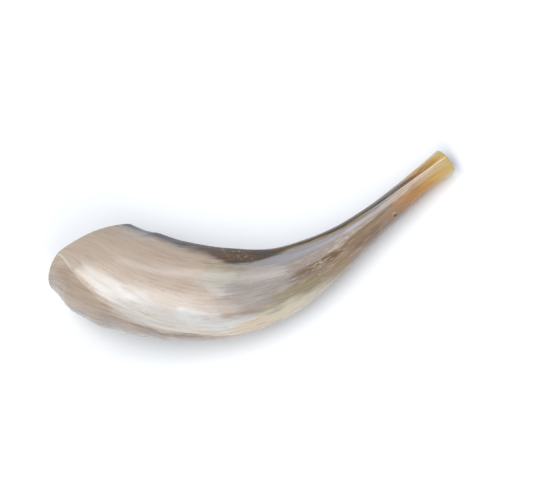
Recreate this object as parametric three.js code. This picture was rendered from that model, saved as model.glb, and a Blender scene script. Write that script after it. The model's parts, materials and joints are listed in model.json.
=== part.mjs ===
// A shofar: one ram's horn, open at both ends, in millimetres.
//
// The horn is a single hollow sheath, so the model is one mesh, lofted from rings that follow a curved centreline.
// It lies on its side on a table, with +Z up. Its neck points along +X to the mouthpiece, and its body curves
// towards +Y, to the bell.

import * as THREE from "three";

const { degToRad, lerp, smoothstep } = THREE.MathUtils;

// The centre of each section from the mouthpiece to the bell, and half the section's length and breadth there.
const SECTIONS = [
  { x: 0, y: 0, z: 0, long: 9.1, short: 8.9 },
  { x: -30, y: 0, z: 6, long: 9.4, short: 9.1 },
  { x: -60, y: -0.2, z: 11.2, long: 10.6, short: 10 },
  { x: -90, y: 0.3, z: 15.4, long: 13.6, short: 12.4 },
  { x: -120, y: 2.9, z: 18.6, long: 19, short: 16.4 },
  { x: -150, y: 9.6, z: 20.6, long: 25, short: 21 },
  { x: -177, y: 22.8, z: 21.2, long: 30.4, short: 25.4 },
  { x: -200, y: 41, z: 20.4, long: 33.2, short: 28.4 },
  { x: -219.6, y: 63, z: 17.4, long: 35.9, short: 31 },
  { x: -233.6, y: 84.8, z: 12, long: 38.4, short: 33.2 },
  { x: -242.6, y: 107.8, z: 2, long: 34.8, short: 30.4 },
];

// Mouthpiece and walls.
const FLARE = 0.8; // how much the mouthpiece widens
const FLARE_LENGTH = 18;
const BORE_RADIUS = 4; // the drilled hole through the tip
const CUP_RADIUS = 6.2;
const CUP_DEPTH = 9;
const BODY_WALL = 4.2; // round the natural hollow
const RIM_WALL = 3.2; // at the bell's sawn edge
const TIP_ROUNDING = 1.2;
const CUP_ROUNDING = 0.6;
const RIM_ROUNDING = 0.9;
const DRILLED_UP_TO = 0.3; // share of the length where the drilled hole meets the hollow
const HOLLOW_FROM = 0.52; // share of the length where the hollow has its full width

// Angles round a section run from the inside of the curve (0) over the top (90) to the outside (180).
// Two ridges run along the horn and turn round it: one on the inside of the curve, and the keel on the outside.
const INNER_RIDGE_AT_TIP = degToRad(75);
const INNER_RIDGE_AT_BELL = 0;
const KEEL_AT_BODY = degToRad(180);
const KEEL_AT_BELL = degToRad(101);
const ROLL_AT_BELL = degToRad(-46); // of the section's long axis
const TWIST_FROM = 0.6; // share of the length
const RIDGE_WIDTH = degToRad(20);
const RIDGE_SOFTNESS = degToRad(3);
const INNER_RISE = 0.09; // of the ridges, as shares of the section's size
const INNER_RISE_AT_BELL = 0.125;
const INNER_RISE_GROWS_FROM = 0.86; // share of the length
const KEEL_RISE = 0.14;

// Growth rings stand up on the outside of the curve, between the keel and the underside.
const RINGS = [0.682, 0.758, 0.818, 0.876, 0.932]; // shares of the length
const RING_HEIGHT = 1.4;
const RING_WIDTH = 0.017; // share of the length
const RINGS_FROM_KEEL = degToRad(65); // angle to the middle of the ringed face
const RINGED_FACE = degToRad(85); // half its width

// The bell is sawn aslant: its edge stands forward at the top and on the outside of the curve.
const SLANT_UPWARDS = 0.25; // millimetres forward for each millimetre up
const SLANT_OUTWARDS = 0.3;
const SLANT_FROM = 0.5;

const UP = new THREE.Vector3(0, 0, 1);
const LEAN = new THREE.Euler(degToRad(18.85), degToRad(-3.4), degToRad(-3.6), "ZYX");

const COLUMNS = 44; // corners in a ring
const STATIONS = 60; // rings along each of the two walls

const centreline = new THREE.CatmullRomCurve3(SECTIONS.map(({ x, y, z }) => new THREE.Vector3(x, y, z)));
const sizes = new THREE.CatmullRomCurve3(SECTIONS.map(({ long, short }) => new THREE.Vector3(long, short, 0)));
const LENGTH = centreline.getLength();

// The section at a share of the horn's length: its centre, its axes and its outline's measures.
function sectionAt(share) {
  const t = centreline.getUtoTmapping(share);
  const along = centreline.getTangent(t);
  const inwards = along.clone().cross(UP).normalize();
  const size = sizes.getPoint(t);
  const turn = smoothstep(share, TWIST_FROM, 1);
  const flare = FLARE * Math.max(0, 1 - (share * LENGTH) / FLARE_LENGTH) ** 1.5;
  return {
    centre: centreline.getPoint(t),
    along,
    inwards,
    upwards: inwards.clone().cross(along),
    long: size.x + flare,
    short: size.y + flare,
    roll: ROLL_AT_BELL * turn,
    keel: lerp(KEEL_AT_BODY, KEEL_AT_BELL, turn),
    keelRise: KEEL_RISE * turn,
    innerRidge: lerp(INNER_RIDGE_AT_BELL, INNER_RIDGE_AT_TIP, (1 - share) ** 2),
    innerRise: lerp(INNER_RISE, INNER_RISE_AT_BELL, smoothstep(share, INNER_RISE_GROWS_FROM, 1)),
    ringHeight: RING_HEIGHT * Math.max(...RINGS.map((top) => crest(share - top, RING_WIDTH, RING_WIDTH / 4))),
    slant: smoothstep(share, SLANT_FROM, 1),
  };
}

// The angle between two directions, from 0 to a half turn.
function turnBetween(a, b) {
  return Math.abs(Math.atan2(Math.sin(a - b), Math.cos(a - b)));
}

// A crest's profile: 1 at the crest, falling off on both sides, with its tip softened.
function crest(away, width, softness) {
  return Math.exp((softness - Math.hypot(away, softness)) / width);
}

function ridge(angle, top) {
  return crest(turnBetween(angle, top), RIDGE_WIDTH, RIDGE_SOFTNESS);
}

function radiusAt(section, angle) {
  const { long, short, roll, keel, keelRise, innerRidge, innerRise } = section;
  const oval = 1 / Math.hypot(Math.cos(angle - roll) / long, Math.sin(angle - roll) / short);
  const offFace = Math.min(1, turnBetween(angle, keel + RINGS_FROM_KEEL) / RINGED_FACE);
  const ringed = (section.ringHeight * (1 + Math.cos(Math.PI * offFace))) / 2;
  return oval * (1 + keelRise * ridge(angle, keel) + innerRise * ridge(angle, innerRidge)) + ringed;
}

// How thick the wall is where the outside is at the given distance from the centre.
function wallAt(share, radius) {
  const intoCup = Math.max(0, 1 - (share * LENGTH) / CUP_DEPTH);
  const bore = lerp(BORE_RADIUS, CUP_RADIUS, intoCup ** 2);
  const wall = lerp(BODY_WALL, RIM_WALL, smoothstep(share, HOLLOW_FROM, 1));
  return lerp(radius - bore, wall, smoothstep(share, DRILLED_UP_TO, HOLLOW_FROM));
}

// One ring, as far in from the outside as the share of the wall and then the inset, in millimetres, say.
function ring(share, wallShare, inset = 0) {
  const section = sectionAt(share);
  const { innerRidge, keel } = section;
  return Array.from({ length: COLUMNS }, (_, column) => {
    const round = (2 * column) / COLUMNS;
    const angle =
      round < 1 ? lerp(innerRidge, keel, round) : lerp(keel, innerRidge + 2 * Math.PI, round - 1);
    const radius = radiusAt(section, angle);
    const out = radius - wallShare * wallAt(share, radius) - inset;
    const inwards = out * Math.cos(angle);
    const upwards = out * Math.sin(angle);
    return section.centre
      .clone()
      .addScaledVector(section.inwards, inwards)
      .addScaledVector(section.upwards, upwards)
      .addScaledVector(section.along, section.slant * (SLANT_UPWARDS * upwards - SLANT_OUTWARDS * inwards));
  });
}

// Joins rings into one closed tube wall: each ring to the next, and the last to the first.
function loft(rings) {
  const corners = [];
  rings.forEach((_, row) => {
    const next = (row + 1) % rings.length;
    for (let column = 0; column < COLUMNS; column++) {
      const beside = (column + 1) % COLUMNS;
      const [a, b] = [row * COLUMNS + column, row * COLUMNS + beside];
      const [c, d] = [next * COLUMNS + column, next * COLUMNS + beside];
      corners.push(a, c, b, b, c, d);
    }
  });
  return new THREE.BufferGeometry().setFromPoints(rings.flat()).setIndex(corners);
}

// The rings in order: along the outside, over the bell's edge, back along the inside, and over the mouthpiece.
function hornRings() {
  const tip = TIP_ROUNDING / LENGTH;
  const cup = CUP_ROUNDING / LENGTH;
  const rim = RIM_ROUNDING / LENGTH;
  const walk = (from, to) =>
    Array.from({ length: STATIONS }, (_, i) => lerp(from, to, i / (STATIONS - 1)));
  const corner = 1 - Math.SQRT1_2; // a rounded edge's middle, as a share of its radius
  return [
    ...walk(tip, 1 - rim).map((share) => ring(share, 0)),
    ring(1 - corner * rim, 0, corner * RIM_ROUNDING),
    ring(1, 0, RIM_ROUNDING),
    ring(1, 1, -RIM_ROUNDING),
    ring(1 - corner * rim, 1, -corner * RIM_ROUNDING),
    ...walk(1 - rim, cup).map((share) => ring(share, 1)),
    ring(corner * cup, 1, -corner * CUP_ROUNDING),
    ring(0, 1, -CUP_ROUNDING),
    ring(0, 0, TIP_ROUNDING),
    ring(corner * tip, 0, corner * TIP_ROUNDING),
  ];
}

const horn = new THREE.Mesh(
  loft(hornRings()),
  new THREE.MeshStandardMaterial({ color: 0xb9a68c, roughness: 0.25 }),
);
horn.name = "horn";

// The horn leans over until it stands on its belly, its bell's edge and its mouthpiece.
horn.rotation.copy(LEAN);

// The part's origin is under the middle of the horn, on the table.
const box = new THREE.Box3().setFromObject(horn, true);
const middle = box.getCenter(new THREE.Vector3());
horn.position.set(-middle.x, -middle.y, -box.min.z);

const shofar = new THREE.Group();
shofar.add(horn);
export default shofar;
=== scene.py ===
"""A polished ram's horn on a pale studio floor, in metres, in the part's own frame.

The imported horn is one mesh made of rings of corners. The rings are read back off it as a cage, and the
skin shown here runs smoothly through them, with its two ridges kept sharp. Every place on the skin has two
measures that the materials use: along, from 0 at the mouthpiece to 1 at the bell, and around, from 0 at the
ridge on the inside of the curve, over the top, through 0.5 at the keel on the outside, and back underneath.
"""

import json
import math

import bmesh
import bpy
import numpy as np
from mathutils import Matrix, Vector, noise


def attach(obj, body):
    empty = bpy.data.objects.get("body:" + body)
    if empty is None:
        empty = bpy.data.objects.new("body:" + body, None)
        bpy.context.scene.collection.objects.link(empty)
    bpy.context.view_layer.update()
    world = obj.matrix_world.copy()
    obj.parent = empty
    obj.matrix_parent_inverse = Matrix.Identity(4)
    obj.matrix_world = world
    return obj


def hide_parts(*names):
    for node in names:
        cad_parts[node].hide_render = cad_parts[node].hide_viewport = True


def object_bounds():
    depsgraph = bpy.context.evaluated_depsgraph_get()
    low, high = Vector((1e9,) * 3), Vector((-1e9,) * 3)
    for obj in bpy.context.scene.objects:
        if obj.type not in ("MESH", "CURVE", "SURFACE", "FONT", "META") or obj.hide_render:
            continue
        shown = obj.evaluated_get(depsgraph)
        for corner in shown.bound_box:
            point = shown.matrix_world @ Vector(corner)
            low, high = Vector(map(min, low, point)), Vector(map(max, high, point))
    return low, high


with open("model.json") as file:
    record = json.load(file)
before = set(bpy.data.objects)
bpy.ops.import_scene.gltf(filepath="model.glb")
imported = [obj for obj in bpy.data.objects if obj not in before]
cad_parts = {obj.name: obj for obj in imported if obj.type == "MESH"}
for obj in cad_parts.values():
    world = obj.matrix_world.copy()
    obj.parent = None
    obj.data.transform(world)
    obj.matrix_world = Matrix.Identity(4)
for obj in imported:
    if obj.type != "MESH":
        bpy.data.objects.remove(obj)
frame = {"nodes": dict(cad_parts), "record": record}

CAD_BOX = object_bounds()

# The camera looks down on the lying horn, turned so that the neck points up to the right.
VIEW_AZIMUTH = math.radians(-13.4)
VIEW_ELEVATION = math.radians(70.7)
VIEW_ROLL = math.radians(29.46)
VIEW_WIDTH = 0.3838  # what the picture spans at the horn
AIM_RIGHT = 0.0116  # from the middle of the horn's box to the middle of the picture
AIM_UP = -0.0194
LENS = 400.0
SENSOR = 36.0

# The studio. A lamp's place, size, turn, power and colour.
STRIP = ((-0.40, -0.65, 1.0), (0.36, 2.40), math.radians(-14), 14.8, (0.93, 0.97, 1.0))
WINDOW = ((0.46, 0.05, 1.0), (0.16, 0.80), 0.0, 2.2, (0.86, 0.91, 1.0))
SKY = (0.92, 0.95, 1.0, 1)
SKY_STRENGTH = 0.55
FLOOR_REACH = 6

# The skin's mesh.
WELD = 1e-6
FLAT = 1e-5  # how near a corner lies to the plane of the face that it is on
OUTSIDE_STEP = 0.00085
INSIDE_STEP = 0.0024
EDGE_STEP = 0.0003
CORNER = 2  # the cage's intervals in a rounded corner
RIDGE_SPLIT = (0, 0.07, 0.22, 0.45, 0.7)  # where a cage interval beside a ridge is split
PLAIN_SPLIT = (0, 0.25, 0.5, 0.75)

# The grain runs along the horn, and turns with the keel towards the bell.
GRAIN_RADIUS = 0.03
GRAIN_TWIST = 0.35  # turns in the whole length
TWISTED_FROM = 0.5

# The skin's own relief, in metres: how high, then how long and how wide each bump is. It fades out at the
# two cut edges, and the wrinkles are on the side with the growth rings.
LUMPS = (0.00030, 0.045, 0.030)
FLUTES = (0.00007, 0.110, 0.0045)
WRINKLES = (0.00016, 0.0035, 0.030)
INSIDE_LUMPS = (0.00035, 0.030, 0.012)
SMOOTH_AT_EDGE = 0.002  # how far from a cut edge there is no relief
RELIEF_FADE = 0.006  # and over how far it then comes in
WRINKLED_FROM = 0.45  # share of the length
WRINKLED_FADE = 0.2
RING_SIDE = 0.68  # around: the middle of the side with the growth rings
RING_SIDE_REACH = 0.06
RING_SPACING = 0.045
RING_SHARPNESS = (0.0016, 0.56, 0.08)  # what the skin adds to them: height, around, reach around
PIT = (0.190, 0.310, 0.0013, 0.0009)  # along, around, radius, depth
NICK = (0.655, 0.004, 0.0016, 0.0006)


def srgb(red, green, blue):
    """A colour as a picture shows it, as the linear numbers that Blender takes."""
    return tuple(((value / 255 + 0.055) / 1.055) ** 2.4 for value in (red, green, blue)) + (1,)


STRAW = srgb(198, 170, 100)
GOLD = srgb(194, 146, 56)
AMBER = srgb(172, 122, 68)
NUT = srgb(144, 118, 94)
DARK_BROWN = srgb(90, 68, 48)
UMBER = srgb(112, 82, 46)
OLIVE = srgb(136, 124, 84)
MOSS = srgb(150, 142, 108)
TAUPE = srgb(150, 140, 134)
DUSK = srgb(68, 62, 52)
SLATE = srgb(70, 70, 80)
LAVENDER = srgb(146, 144, 150)
BEIGE = srgb(176, 158, 142)
TAN = srgb(180, 162, 144)
CREAM = srgb(204, 194, 170)
PEACH = srgb(200, 178, 152)
PEARL = srgb(204, 206, 206)
MAUVE = srgb(118, 106, 104)
PITCH = srgb(46, 36, 30)

# The horn's colour from the mouthpiece to the bell.
BASE = (
    (0.00, STRAW), (0.05, GOLD), (0.12, AMBER), (0.20, NUT), (0.36, NUT), (0.48, TAUPE),
    (0.62, TAUPE), (0.70, BEIGE), (0.85, BEIGE), (1.00, TAN),
)

# Clouds of other colours in it, some of them painted highlight and painted shade: colour, along, around,
# reach along, reach around, strength.
CLOUDS = (
    (STRAW, 0.01, 0.26, 0.045, 0.20, 0.8),
    (TAUPE, 0.09, 0.09, 0.14, 0.05, 0.3),
    (CREAM, 0.07, 0.10, 0.08, 0.06, 0.35),
    (MAUVE, 0.20, 0.42, 0.18, 0.07, 0.65),
    (DARK_BROWN, 0.20, 0.35, 0.10, 0.05, 0.35),
    (DARK_BROWN, 0.26, 0.135, 0.10, 0.045, 0.7),
    (OLIVE, 0.30, 0.15, 0.12, 0.05, 0.5),
    (OLIVE, 0.32, 0.02, 0.16, 0.04, 0.5),
    (DARK_BROWN, 0.27, 0.28, 0.05, 0.08, 0.4),
    (DARK_BROWN, 0.40, 0.18, 0.11, 0.09, 0.8),
    (UMBER, 0.41, 0.18, 0.11, 0.06, 0.8),
    (UMBER, 0.29, 0.135, 0.09, 0.04, 0.5),
    (UMBER, 0.45, 0.26, 0.05, 0.06, 0.4),
    (OLIVE, 0.42, 0.35, 0.10, 0.05, 0.5),
    (CREAM, 0.350, 0.19, 0.012, 0.09, 0.35),
    (CREAM, 0.410, 0.22, 0.012, 0.04, 0.3),
    (CREAM, 0.53, 0.42, 0.14, 0.07, 0.8),
    (OLIVE, 0.48, 0.30, 0.07, 0.04, 0.6),
    (MOSS, 0.56, 0.34, 0.07, 0.04, 0.5),
    (PEACH, 0.62, 0.44, 0.14, 0.07, 0.7),
    (NUT, 0.63, 0.51, 0.12, 0.05, 0.5),
    # A painted highlight down the body: the PEARL clouds at around 0.37, 0.40 and 0.44.
    (PEARL, 0.66, 0.37, 0.10, 0.05, 0.6),
    (PEARL, 0.66, 0.18, 0.05, 0.07, 0.4),
    (PEARL, 0.74, 0.40, 0.12, 0.07, 0.5),
    (PEARL, 0.85, 0.44, 0.09, 0.05, 0.4),
    (NUT, 0.66, 0.29, 0.07, 0.04, 0.4),
    (OLIVE, 0.655, 0.15, 0.07, 0.07, 0.45),
    (CREAM, 0.72, 0.44, 0.10, 0.03, 0.3),
    (NUT, 0.69, 0.48, 0.08, 0.04, 0.6),
    # Painted shade in the hollows between the growth rings by the keel: the next two clouds.
    (MAUVE, 0.705, 0.48, 0.035, 0.04, 0.6),
    (MAUVE, 0.775, 0.50, 0.040, 0.04, 0.7),
    (NUT, 0.88, 0.54, 0.12, 0.05, 0.3),
    # Painted shade on the lower face, which turns away from the light.
    (MAUVE, 0.86, 0.62, 0.20, 0.06, 0.8),
    (DARK_BROWN, 0.11, 0.97, 0.09, 0.04, 0.7),
    # Painted shade along the edge under the inner ridge of the neck: the next two clouds.
    (DARK_BROWN, 0.26, 0.93, 0.14, 0.08, 0.9),
    (DUSK, 0.24, 0.97, 0.16, 0.05, 0.9),
    # Painted shade along the top edge near the bell.
    (SLATE, 0.96, 0.03, 0.09, 0.09, 0.85),
    (NUT, 0.98, 0.15, 0.06, 0.10, 0.5),
    (OLIVE, 0.55, 0.72, 0.20, 0.12, 0.6),
    (NUT, 0.78, 0.80, 0.16, 0.12, 0.6),
    (DARK_BROWN, 0.36, 0.66, 0.14, 0.10, 0.5),
    (CREAM, 0.92, 0.74, 0.10, 0.10, 0.4),
)


def facing_camera():
    """The camera's axes in the part's frame: right, up, and back towards the viewer."""
    level = math.cos(VIEW_ELEVATION)
    sideways, forwards = math.sin(VIEW_AZIMUTH) * level, -math.cos(VIEW_AZIMUTH) * level
    back = Vector((sideways, forwards, math.sin(VIEW_ELEVATION)))
    right = Vector((0, 0, 1)).cross(back).normalized()
    up = back.cross(right)
    roll = Matrix.Rotation(-VIEW_ROLL, 3, back)
    return roll @ right, roll @ up, back


def make_camera():
    right, up, back = facing_camera()
    data = bpy.data.cameras.new("camera")
    data.lens = LENS
    data.sensor_width = SENSOR
    distance = LENS / SENSOR * VIEW_WIDTH
    data.clip_end = 4 * distance
    camera = bpy.data.objects.new("camera", data)
    bpy.context.scene.collection.objects.link(camera)
    middle = (CAD_BOX[0] + CAD_BOX[1]) / 2
    aim = middle + AIM_RIGHT * right + AIM_UP * up
    turned = Matrix((right, up, back)).transposed()
    camera.matrix_world = Matrix.Translation(aim + distance * back) @ turned.to_4x4()
    bpy.context.scene.camera = camera


# --------------------------------------------------------------------------------------------------
# The cage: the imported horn's own rings


def gaps(ring, other):
    """The distances between the corners of two rings, taken pair by pair."""
    return [(one.co - another.co).length for one, another in zip(ring, other)]


def face_rings(body, mount):
    """The outer and the inner edge of the flat ring-shaped face at a mount, each in order round it."""
    point, axis = Vector(mount["pos_m"]), Vector(mount["axis"])
    flat = {f for f in body.faces if all(abs((v.co - point).dot(axis)) < FLAT for v in f.verts)}
    edges = {edge for face in flat for edge in face.edges}
    border = {edge for edge in edges if len(flat.intersection(edge.link_faces)) == 1}
    rings = []
    while border:
        ring = list(border.pop().verts)
        while ring[-1] != ring[0]:
            edge = border.intersection(ring[-1].link_edges).pop()
            border.remove(edge)
            ring.append(edge.other_vert(ring[-1]))
        rings.append(ring[:-1])
    return sorted(rings, key=lambda ring: -sum(gaps(ring, ring[1:])))


def next_ring(ring, before):
    """The ring beside this one, on the side away from the ring before it, matched corner for corner."""
    near = [{edge.other_vert(v) for edge in v.link_edges} for v in ring]
    here = set(ring) | set(before)
    found = [((near[i - 1] & near[i]) - here).pop() for i in range(len(ring))]
    straight = sum(gaps(ring, found))
    slanted = sum(gaps(ring[-1:] + ring[:-1], found))
    return found if straight < slanted else found[1:] + found[:1]


def read_cage(node, mounts):
    """The horn's rings, from the mouthpiece's edge along the outside to the bell, and back inside."""
    body = bmesh.new()
    body.from_mesh(node.data)
    bmesh.ops.remove_doubles(body, verts=body.verts, dist=WELD)
    ring, before = face_rings(body, mounts["mouthpiece_rim"])
    first = set(ring)
    rings = []
    while not rings or not first & set(ring):
        rings.append(ring)
        ring, before = next_ring(ring, before), ring
    cage = np.array([[v.co[:] for v in ring] for ring in rings])
    body.free()
    return cage


def start_at_inner_ridge(cage, edge):
    """The cage with its columns numbered from the ridge inside the curve, over the top, to the keel."""
    outside = cage[:edge]
    sides = np.roll(outside, -1, axis=1) - outside
    sides /= np.linalg.norm(sides, axis=2, keepdims=True)
    straightness = (sides * np.roll(sides, 1, axis=1)).sum(2).mean(0)
    ridges = np.argsort(straightness)[:2]
    lengths = np.linalg.norm(np.diff(outside, axis=0), axis=2).sum(0)
    cage = np.roll(cage, -ridges[np.argmin(lengths[ridges])], axis=1)
    quarter = cage.shape[1] // 4
    if cage[:edge, quarter, 2].mean() < cage[:edge, -quarter, 2].mean():
        cage = np.roll(cage[:, ::-1], 1, axis=1)
    return cage


# --------------------------------------------------------------------------------------------------
# The skin: a fine mesh through the cage


def through(points, knots, at):
    """A smooth curve through rows of points, each at its knot, read off at the given places."""
    step = np.diff(knots)[:, None, None]
    slope = np.diff(points, axis=0) / step
    inner = (slope[:-1] * step[1:] + slope[1:] * step[:-1]) / (step[:-1] + step[1:])
    tangent = np.concatenate([slope[:1], inner, slope[-1:]])
    i = np.clip(np.searchsorted(knots, at, side="right") - 1, 0, len(step) - 1)
    t = ((at - knots[i]) / np.diff(knots)[i])[:, None, None]
    return (
        points[i] * (1 + 2 * t) * (1 - t) ** 2
        + points[i + 1] * t * t * (3 - 2 * t)
        + tangent[i] * step[i] * t * (1 - t) ** 2
        + tangent[i + 1] * step[i] * t * t * (t - 1)
    )


def distances(points):
    """How far along each row of points lies, from the first, as the mean over its columns."""
    return np.concatenate([[0], np.cumsum(np.linalg.norm(np.diff(points, axis=0), axis=2).mean(1))])


def fine_rows(cage, edge):
    """The cage with many more rings, and each ring's place in the cage's numbering.

    Each stretch is smooth in itself: a wall, a rounded corner or the flat of a cut face.
    """
    looped = np.concatenate([cage, cage[:1]])
    last = len(cage) - 1
    ends = (0, CORNER, edge - CORNER, edge, edge + 1, edge + 1 + CORNER, last - CORNER, last, last + 1)
    rows, place = [], []
    for start, end in zip(ends, ends[1:]):
        stretch = looped[start:end + 1]
        knots = distances(stretch)
        step = EDGE_STEP
        if end - start > CORNER:
            step = OUTSIDE_STEP if end < edge else INSIDE_STEP
        parts = np.maximum(1, np.round(np.diff(knots) / step)).astype(int)
        here = np.concatenate([i + np.arange(count) / count for i, count in enumerate(parts)])
        rows.append(through(stretch, knots, np.interp(here, np.arange(len(knots)), knots)))
        place.append(start + here)
    return np.concatenate(rows), np.concatenate(place)


def fine_columns(rows):
    """The rows with many more columns, sharp at the two ridges, and each column's place round the horn."""
    columns = rows.shape[1]
    half = columns // 2
    towards_ridge = (0,) + tuple(1 - share for share in reversed(RIDGE_SPLIT[1:]))
    splits = [RIDGE_SPLIT] + [PLAIN_SPLIT] * (half - 2) + [towards_ridge]
    place = np.concatenate([i + np.array(split) for i, split in enumerate(splits)])
    looped = np.concatenate([rows, rows[:, :1]], axis=1).transpose(1, 0, 2)
    sides = []
    for start in (0, half):
        side = looped[start:start + half + 1]
        knots = distances(side)
        at = np.interp(place, np.arange(half + 1), knots)
        sides.append(through(side, knots, at))
    around = np.concatenate([place, half + place]) / columns
    return np.concatenate(sides).transpose(1, 0, 2), around


def outward(grid):
    """The direction straight out of the surface at each corner of a grid that closes both ways."""
    down = np.roll(grid, -1, axis=0) - np.roll(grid, 1, axis=0)
    across = np.roll(grid, -1, axis=1) - np.roll(grid, 1, axis=1)
    out = np.cross(down, across)
    out /= np.linalg.norm(out, axis=2, keepdims=True)
    middle = grid.mean(axis=1, keepdims=True)
    first = slice(0, len(grid) // 4)
    if (out * (grid - middle))[first].sum() < 0:
        out = -out
    return out


def rough(grain, relief):
    """Smooth noise over the horn, with bumps of the relief's height, length and width."""
    height, length, width = relief
    scaled = grain.reshape(-1, 3) / np.array([length, width, width])
    return height * np.array([noise.noise(place) for place in scaled.tolist()]).reshape(grain.shape[:2])


def ring_profile(grid, around):
    """How far each row stands out on the ringed side: 1 on the highest growth ring."""
    ringed = np.abs(around - RING_SIDE) < RING_SIDE_REACH
    size = np.linalg.norm(grid - grid.mean(1, keepdims=True), axis=2)[:, ringed].mean(1)
    half = round(RING_SPACING / OUTSIDE_STEP / 2)
    window = np.ones(2 * half + 1) / (2 * half + 1)
    standing = size - np.convolve(np.pad(size, half, mode="edge"), window, mode="valid")
    return np.clip(standing / np.sort(standing)[-len(standing) // 50], 0, 1)


def dent(along, around, mark, girth, length):
    """A small round hollow in the surface."""
    mark_along, mark_around, radius, depth = mark
    off_round = np.abs((around - mark_around + 0.5) % 1 - 0.5) * girth
    off = np.hypot((along - mark_along) * length, off_round)
    return -depth * np.exp(-(off / radius) ** 2)


def skin_height(grid, grain, along, around, length, rings):
    """How far the relief lifts each corner outside, and how far inside."""
    girth = np.linalg.norm(np.roll(grid, -1, axis=1) - grid, axis=2).sum(1)[:, None]
    from_edge = np.minimum(along, 1 - along) * length
    clear = np.clip((from_edge - SMOOTH_AT_EDGE) / RELIEF_FADE, 0, 1)
    under = np.clip(np.cos(2 * math.pi * (around - RING_SIDE)) * 1.4, 0, 1)
    under = under * np.clip((along - WRINKLED_FROM) / WRINKLED_FADE, 0, 1)
    relief = rough(grain, LUMPS) + rough(grain, FLUTES) + under * rough(grain, WRINKLES)
    for mark in (PIT, NICK):
        relief = relief + dent(along, around, mark, girth, length)
    sharpness, centre, reach = RING_SHARPNESS
    relief = relief + sharpness * rings[:, None] * np.exp(-((around - centre) / reach) ** 2)
    return clear * relief, clear * rough(grain, INSIDE_LUMPS)


def make_skin():
    mounts = {mount["name"]: mount for mount in frame["record"]["mounts"]}
    cage = read_cage(frame["nodes"]["horn"], mounts)
    bell = mounts["bell_rim"]
    off_bell = np.abs((cage - np.array(bell["pos_m"])) @ np.array(bell["axis"])).max(1)
    edge = int(np.argmax(off_bell < FLAT))
    cage = start_at_inner_ridge(cage, edge)
    rows, row_place = fine_rows(cage, edge)
    grid, column_place = fine_columns(rows)

    # Where each corner is: along, around, and in the grain.
    outside = row_place <= edge
    middles = grid.mean(1)
    walked = np.concatenate([[0], np.cumsum(np.linalg.norm(np.diff(middles, axis=0), axis=1))])
    length = walked[outside][-1]
    share = np.where(outside, walked / length, 1 - (walked - length) / (walked[-1] - length))
    along = np.broadcast_to(share[:, None], grid.shape[:2])
    around = np.broadcast_to(column_place[None, :], grid.shape[:2])
    twist = GRAIN_TWIST * np.maximum(0, along - TWISTED_FROM) ** 2 / (1 - TWISTED_FROM)
    turn = 2 * math.pi * (around - twist)
    grain = np.stack([along * length, GRAIN_RADIUS * np.cos(turn), GRAIN_RADIUS * np.sin(turn)], axis=-1)

    rings = ring_profile(grid, column_place) * (share > TWISTED_FROM)
    relief, inside = skin_height(grid, grain, along, around, length, rings)
    height = np.where(outside[:, None], relief, inside)
    grid = grid + height[..., None] * outward(grid)

    count_rows, count_columns = grid.shape[:2]
    index = np.arange(count_rows * count_columns).reshape(count_rows, count_columns)
    beside = np.roll(index, -1, axis=1)
    faces = np.stack([index, np.roll(index, -1, axis=0), np.roll(beside, -1, axis=0), beside], axis=-1)
    mesh = bpy.data.meshes.new("horn_skin")
    mesh.from_pydata(grid.reshape(-1, 3).tolist(), [], faces.reshape(-1, 4).tolist())
    place = mesh.attributes.new("place", "FLOAT_VECTOR", "POINT")
    turned = 2 * math.pi * around
    place.data.foreach_set("vector", np.stack([along, np.cos(turned), np.sin(turned)], axis=-1).ravel())
    on_ring = mesh.attributes.new("ring", "FLOAT", "POINT")
    on_ring.data.foreach_set("value", np.broadcast_to(rings[:, None], around.shape).ravel())
    fibres = mesh.attributes.new("grain", "FLOAT_VECTOR", "POINT")
    fibres.data.foreach_set("vector", grain.ravel())

    # Polished outside, cut edges, plain inside.
    finish = np.where(row_place < edge, 0, np.where(row_place < edge + 1, 1, 2))
    finish[row_place >= len(cage) - 1] = 1
    mesh.polygons.foreach_set("material_index", np.repeat(finish, count_columns))
    mesh.shade_smooth()
    body = bmesh.new()
    body.from_mesh(mesh)
    if body.calc_volume(signed=True) < 0:
        bmesh.ops.reverse_faces(body, faces=body.faces)
        body.to_mesh(mesh)
    body.free()
    skin = bpy.data.objects.new("horn_skin", mesh)
    bpy.context.scene.collection.objects.link(skin)
    return skin


# --------------------------------------------------------------------------------------------------
# Materials


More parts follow.
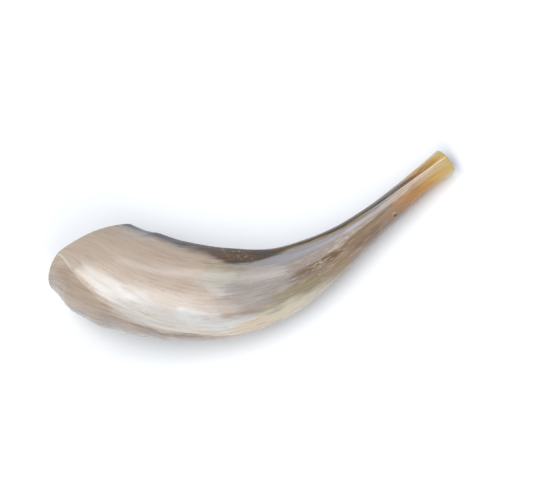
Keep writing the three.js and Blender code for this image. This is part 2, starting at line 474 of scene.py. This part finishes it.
class Nodes:
    """A material's nodes, made by short calls. Any input takes a number, a colour or another's output."""

    def __init__(self, tree):
        self.tree = tree

    def feed(self, socket, value):
        if isinstance(value, bpy.types.NodeSocket):
            self.tree.links.new(value, socket)
        else:
            socket.default_value = value

    def add(self, kind, inputs, output=0, **settings):
        node = self.tree.nodes.new("ShaderNode" + kind)
        for name, value in settings.items():
            setattr(node, name, value)
        for key, value in inputs.items():
            self.feed(node.inputs[key], value)
        return node.outputs[output]

    def math(self, operation, *values, clamp=False):
        return self.add("Math", dict(enumerate(values)), operation=operation, use_clamp=clamp)

    def vector(self, operation, *values, output=0):
        return self.add("VectorMath", dict(enumerate(values)), output, operation=operation)

    def attribute(self, name, output="Vector"):
        return self.add("Attribute", {}, output, attribute_name=name)

    def split(self, vector):
        node = self.tree.nodes.new("ShaderNodeSeparateXYZ")
        self.feed(node.inputs[0], vector)
        return node.outputs[0], node.outputs[1], node.outputs[2]

    def noise(self, grain, length, width, detail=2.0, roughness=0.5, shift=0.0):
        """Noise from 0 to 1, with bumps of that length along the grain and that width across it."""
        scale = (1 / length, 1 / width, 1 / width)
        moved = self.vector("MULTIPLY_ADD", grain, scale, (shift, shift, shift))
        inputs = {"Vector": moved, "Scale": 1.0, "Detail": detail, "Roughness": roughness}
        return self.add("TexNoise", inputs)

    def step(self, value, low, high, start=0.0, end=1.0):
        """A smooth step from start to end as the value goes from low to high."""
        inputs = {"Value": value, "From Min": low, "From Max": high, "To Min": start, "To Max": end}
        return self.add("MapRange", inputs, interpolation_type="SMOOTHSTEP")

    def mix(self, factor, one, other, blend="MIX"):
        node = self.tree.nodes.new("ShaderNodeMix")
        node.data_type = "RGBA"
        node.blend_type = blend
        self.feed(node.inputs["Factor"], factor)
        self.feed(node.inputs[6], one)
        self.feed(node.inputs[7], other)
        return node.outputs[2]

    def ramp(self, value, stops):
        node = self.tree.nodes.new("ShaderNodeValToRGB")
        self.feed(node.inputs[0], value)
        stops_made = node.color_ramp.elements
        stops_made[0].position, stops_made[0].color = stops[0]
        stops_made[1].position, stops_made[1].color = stops[-1]
        for position, colour in stops[1:-1]:
            stops_made.new(position).color = colour
        return node.outputs[0]


def new_material(name):
    material = bpy.data.materials.new(name)
    material.use_nodes = True
    return material, Nodes(material.node_tree), material.node_tree.nodes["Principled BSDF"]


def cloud(nodes, along, facing, centre_along, centre_around, reach_along, reach_around, strength):
    """How strong a soft-edged cloud of colour is, from its centre and reach along and around the horn."""
    angle = 2 * math.pi * centre_around
    towards = nodes.vector("DOT_PRODUCT", facing, (0, math.cos(angle), math.sin(angle)), output="Value")
    turned = nodes.math("ARCCOSINE", nodes.math("MINIMUM", towards, 1.0))
    off_around = nodes.math("MULTIPLY", turned, 1 / (2 * math.pi * reach_around))
    off_along = nodes.math("MULTIPLY", nodes.math("SUBTRACT", along, centre_along), 1 / reach_along)
    square = nodes.math("MULTIPLY", off_around, off_around)
    square = nodes.math("MULTIPLY_ADD", off_along, off_along, square)
    return nodes.step(square, 1.3, 0.1, 0.0, strength)


def polished_horn():
    material, nodes, shader = new_material("polished_horn")
    grain = nodes.attribute("grain")
    place = nodes.attribute("place")
    along, cosine, sine = nodes.split(place)

    # Fine streaks and broad drifts break up the outlines of the clouds.
    streaks = nodes.noise(grain, 0.026, 0.0013, detail=4.0, roughness=0.6)
    drift = nodes.noise(grain, 0.022, 0.010, detail=3.0, shift=7.0)
    shift = nodes.math("MULTIPLY", nodes.math("SUBTRACT", drift, 0.5), 0.16)
    shift = nodes.math("MULTIPLY_ADD", nodes.math("SUBTRACT", streaks, 0.5), 0.10, shift)
    shifted = nodes.math("ADD", along, shift)
    both = nodes.math("MULTIPLY_ADD", streaks, 0.5, drift)
    wobble = nodes.vector("MULTIPLY_ADD", both, (0.8, 0.8, 0.8), (-0.6, -0.6, -0.6))
    facing = nodes.vector("MULTIPLY", nodes.vector("ADD", place, wobble), (0, 1, 1))
    facing = nodes.vector("NORMALIZE", facing)

    colour = nodes.ramp(shifted, BASE)
    for tint, *where in CLOUDS:
        colour = nodes.mix(cloud(nodes, shifted, facing, *where), colour, tint)

    mottled = nodes.noise(grain, 0.012, 0.006, detail=3.0, roughness=0.6, shift=15.0)
    colour = nodes.mix(nodes.step(mottled, 0.50, 0.70, 0.0, 0.35), colour, TAN)
    colour = nodes.mix(nodes.step(mottled, 0.45, 0.25, 0.0, 0.25), colour, NUT)

    # Painted shade in the hollows between the growth rings on the ringed side.
    ringed = cloud(nodes, along, facing, 0.85, RING_SIDE, 0.22, 0.20, 0.55)
    painted_ring_shade = nodes.math("MULTIPLY", nodes.step(nodes.attribute("ring", "Fac"), 0.5, 0.0), ringed)
    colour = nodes.mix(painted_ring_shade, colour, MAUVE)

    # Painted shade: a dark band along the ridge on the inside of the curve, where the surface turns away
    # from the light, with a painted bluish reflection beside it on the neck.
    turned = nodes.math("MULTIPLY", nodes.math("ARCTAN2", sine, cosine), 1 / (2 * math.pi))
    turned = nodes.math("MULTIPLY_ADD", nodes.math("SUBTRACT", both, 0.75), 0.04, turned)
    lower = nodes.math("SUBTRACT", turned, nodes.step(along, 0.18, 0.42, 0.065, 0.110))
    painted_reflection = nodes.math("MULTIPLY", nodes.step(turned, 0.030, 0.050), nodes.step(lower, 0.015, -0.015))
    painted_reflection = nodes.math("MULTIPLY", painted_reflection, nodes.step(along, 0.12, 0.20))
    painted_reflection = nodes.math("MULTIPLY", painted_reflection, nodes.step(shifted, 0.60, 0.48, 0.0, 0.8))
    colour = nodes.mix(painted_reflection, colour, LAVENDER)
    # How far round from the ridge the painted shade reaches.
    widening = nodes.step(along, 0.42, 0.61, 0.015, 0.085)
    reach = nodes.math("SUBTRACT", widening, nodes.step(along, 0.62, 0.74, 0.0, 0.038))
    past = nodes.math("SUBTRACT", turned, reach)
    past = nodes.math("MULTIPLY", past, nodes.step(along, 0.60, 0.75, 1.0, 0.35))
    painted_shade = nodes.math("MULTIPLY", nodes.step(past, 0.014, -0.008), nodes.step(turned, -0.20, -0.10))
    painted_shade = nodes.math("MULTIPLY", painted_shade, nodes.step(along, 0.13, 0.26, 0.0, 0.9))
    shade = nodes.mix(nodes.step(drift, 0.40, 0.62), DUSK, DARK_BROWN)
    shade = nodes.mix(nodes.step(shifted, 0.62, 0.85), shade, SLATE)
    colour = nodes.mix(painted_shade, colour, shade)

    # Fibres, lighter and darker, and pale flecks in the dark parts.
    fibres = nodes.noise(grain, 0.014, 0.0007, detail=3.0, roughness=0.7, shift=3.0)
    colour = nodes.mix(nodes.step(fibres, 0.40, 0.75, 0.0, 0.30), colour, CREAM, "SOFT_LIGHT")
    colour = nodes.mix(nodes.step(streaks, 0.60, 0.35, 0.0, 0.30), colour, DARK_BROWN, "SOFT_LIGHT")
    flecks = nodes.noise(grain, 0.0045, 0.0022, detail=3.0, roughness=0.6, shift=11.0)
    flecked = nodes.math("MULTIPLY", nodes.step(flecks, 0.56, 0.70), nodes.step(drift, 0.42, 0.60))
    for centre_along, centre_around in ((0.42, 0.24), (0.58, 0.01)):
        near = cloud(nodes, along, facing, centre_along, centre_around, 0.08, 0.08, 0.8)
        colour = nodes.mix(nodes.math("MULTIPLY", flecked, near), colour, PEARL)
    pit_along, pit_around, _, _ = PIT
    across = nodes.vector("MULTIPLY", place, (0, 1, 1))
    marks = (
        (PEARL, 0.99, 0.5, 0.07, 0.0035, 0.6),  # a painted highlight along the keel at the bell
        (PEARL, 0.13, 0.01, 0.16, 0.010, 0.7),  # a painted highlight along the ridge at the mouthpiece
        (CREAM, pit_along, pit_around - 0.04, 0.006, 0.03, 0.25),
        (PITCH, pit_along, pit_around, 0.006, 0.02, 0.9),
    )
    for tint, *where in marks:
        colour = nodes.mix(cloud(nodes, along, across, *where), colour, tint)
    nodes.feed(shader.inputs["Base Color"], colour)

    # The neck is polished brighter than the body.
    shine = nodes.math("MULTIPLY_ADD", streaks, 0.20, nodes.step(along, 0.3, 0.6, 0.06, 0.14))
    shine = nodes.math("ADD", shine, nodes.step(mottled, 0.35, 0.65, 0.0, 0.12))
    nodes.feed(shader.inputs["Roughness"], shine)
    nodes.feed(shader.inputs["Coat Roughness"], nodes.step(along, 0.3, 0.6, 0.08, 0.2))
    nodes.feed(shader.inputs["Coat Weight"], nodes.math("MULTIPLY_ADD", painted_shade, -0.6, 0.6))
    nodes.feed(shader.inputs["Specular IOR Level"], nodes.math("MULTIPLY_ADD", painted_shade, -0.35, 0.5))
    shader.inputs["IOR"].default_value = 1.55
    height = nodes.math("MULTIPLY_ADD", fibres, 0.5, streaks)
    bump = nodes.add("Bump", {"Strength": 0.45, "Distance": 0.0002, "Height": height})
    nodes.feed(shader.inputs["Normal"], bump)
    return material


def cut_horn():
    """The sawn and sanded edges: pale, dull and mottled."""
    material, nodes, shader = new_material("cut_horn")
    grain = nodes.attribute("grain")
    where = nodes.add("TexCoord", {}, "Object")
    mottled = nodes.add("TexNoise", {"Vector": where, "Scale": 900.0, "Detail": 3.0})
    broad = nodes.noise(grain, 0.02, 0.006)
    colour = nodes.mix(nodes.step(mottled, 0.35, 0.7), srgb(176, 160, 134), srgb(206, 192, 166))
    colour = nodes.mix(nodes.step(broad, 0.4, 0.7, 0.0, 0.5), colour, NUT)
    nodes.feed(shader.inputs["Base Color"], colour)
    nodes.feed(shader.inputs["Roughness"], nodes.step(mottled, 0.3, 0.7, 0.4, 0.6))
    bump = nodes.add("Bump", {"Strength": 0.3, "Distance": 0.0002, "Height": mottled})
    nodes.feed(shader.inputs["Normal"], bump)
    return material


def inner_horn():
    """The inside, as the bony core left it: matt, pale near the bell and brown down the bore."""
    material, nodes, shader = new_material("inner_horn")
    grain = nodes.attribute("grain")
    along, _, _ = nodes.split(nodes.attribute("place"))
    furrows = nodes.noise(grain, 0.040, 0.0020, detail=4.0, roughness=0.65, shift=5.0)
    stains = nodes.noise(grain, 0.030, 0.015, detail=3.0, shift=9.0)
    depth = nodes.math("ADD", along, nodes.math("MULTIPLY", nodes.math("SUBTRACT", stains, 0.5), 0.5))
    colour = nodes.ramp(depth, ((0.2, DARK_BROWN), (0.6, NUT), (0.85, TAN), (1.0, CREAM)))
    colour = nodes.mix(nodes.step(furrows, 0.35, 0.7, 0.0, 0.5), colour, NUT)
    nodes.feed(shader.inputs["Base Color"], colour)
    nodes.feed(shader.inputs["Roughness"], nodes.step(furrows, 0.3, 0.7, 0.55, 0.8))
    bump = nodes.add("Bump", {"Strength": 0.5, "Distance": 0.0008, "Height": furrows})
    nodes.feed(shader.inputs["Normal"], bump)
    return material


# --------------------------------------------------------------------------------------------------
# The studio


def make_floor():
    mesh = bpy.data.meshes.new("floor")
    corners = [(x * FLOOR_REACH, y * FLOOR_REACH, 0) for x, y in ((-1, -1), (1, -1), (1, 1), (-1, 1))]
    mesh.from_pydata(corners, [], [(0, 1, 2, 3)])
    floor = bpy.data.objects.new("floor", mesh)
    material, _, shader = new_material("floor")
    shader.inputs["Base Color"].default_value = (0.9, 0.9, 0.9, 1)
    shader.inputs["Roughness"].default_value = 0.7
    mesh.materials.append(material)
    bpy.context.scene.collection.objects.link(floor)


def softbox(name, place, size, turn, power, colour):
    """A rectangular lamp that hangs level over the table and isn't seen itself."""
    data = bpy.data.lights.new(name, "AREA")
    data.shape = "RECTANGLE"
    data.size, data.size_y = size
    data.energy = power
    data.color = colour
    light = bpy.data.objects.new(name, data)
    light.location = place
    light.rotation_euler = (0, 0, turn)
    light.visible_camera = False
    bpy.context.scene.collection.objects.link(light)


def make_studio():
    make_floor()
    softbox("strip", *STRIP)
    softbox("window", *WINDOW)
    world = bpy.data.worlds.new("studio")
    world.use_nodes = True
    background = world.node_tree.nodes["Background"]
    background.inputs["Color"].default_value = SKY
    background.inputs["Strength"].default_value = SKY_STRENGTH
    bpy.context.scene.world = world
    bpy.context.scene.view_settings.view_transform = "Standard"


make_camera()
skin = make_skin()
for finish in (polished_horn(), cut_horn(), inner_horn()):
    skin.data.materials.append(finish)
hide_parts("horn")
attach(skin, "root")
make_studio()
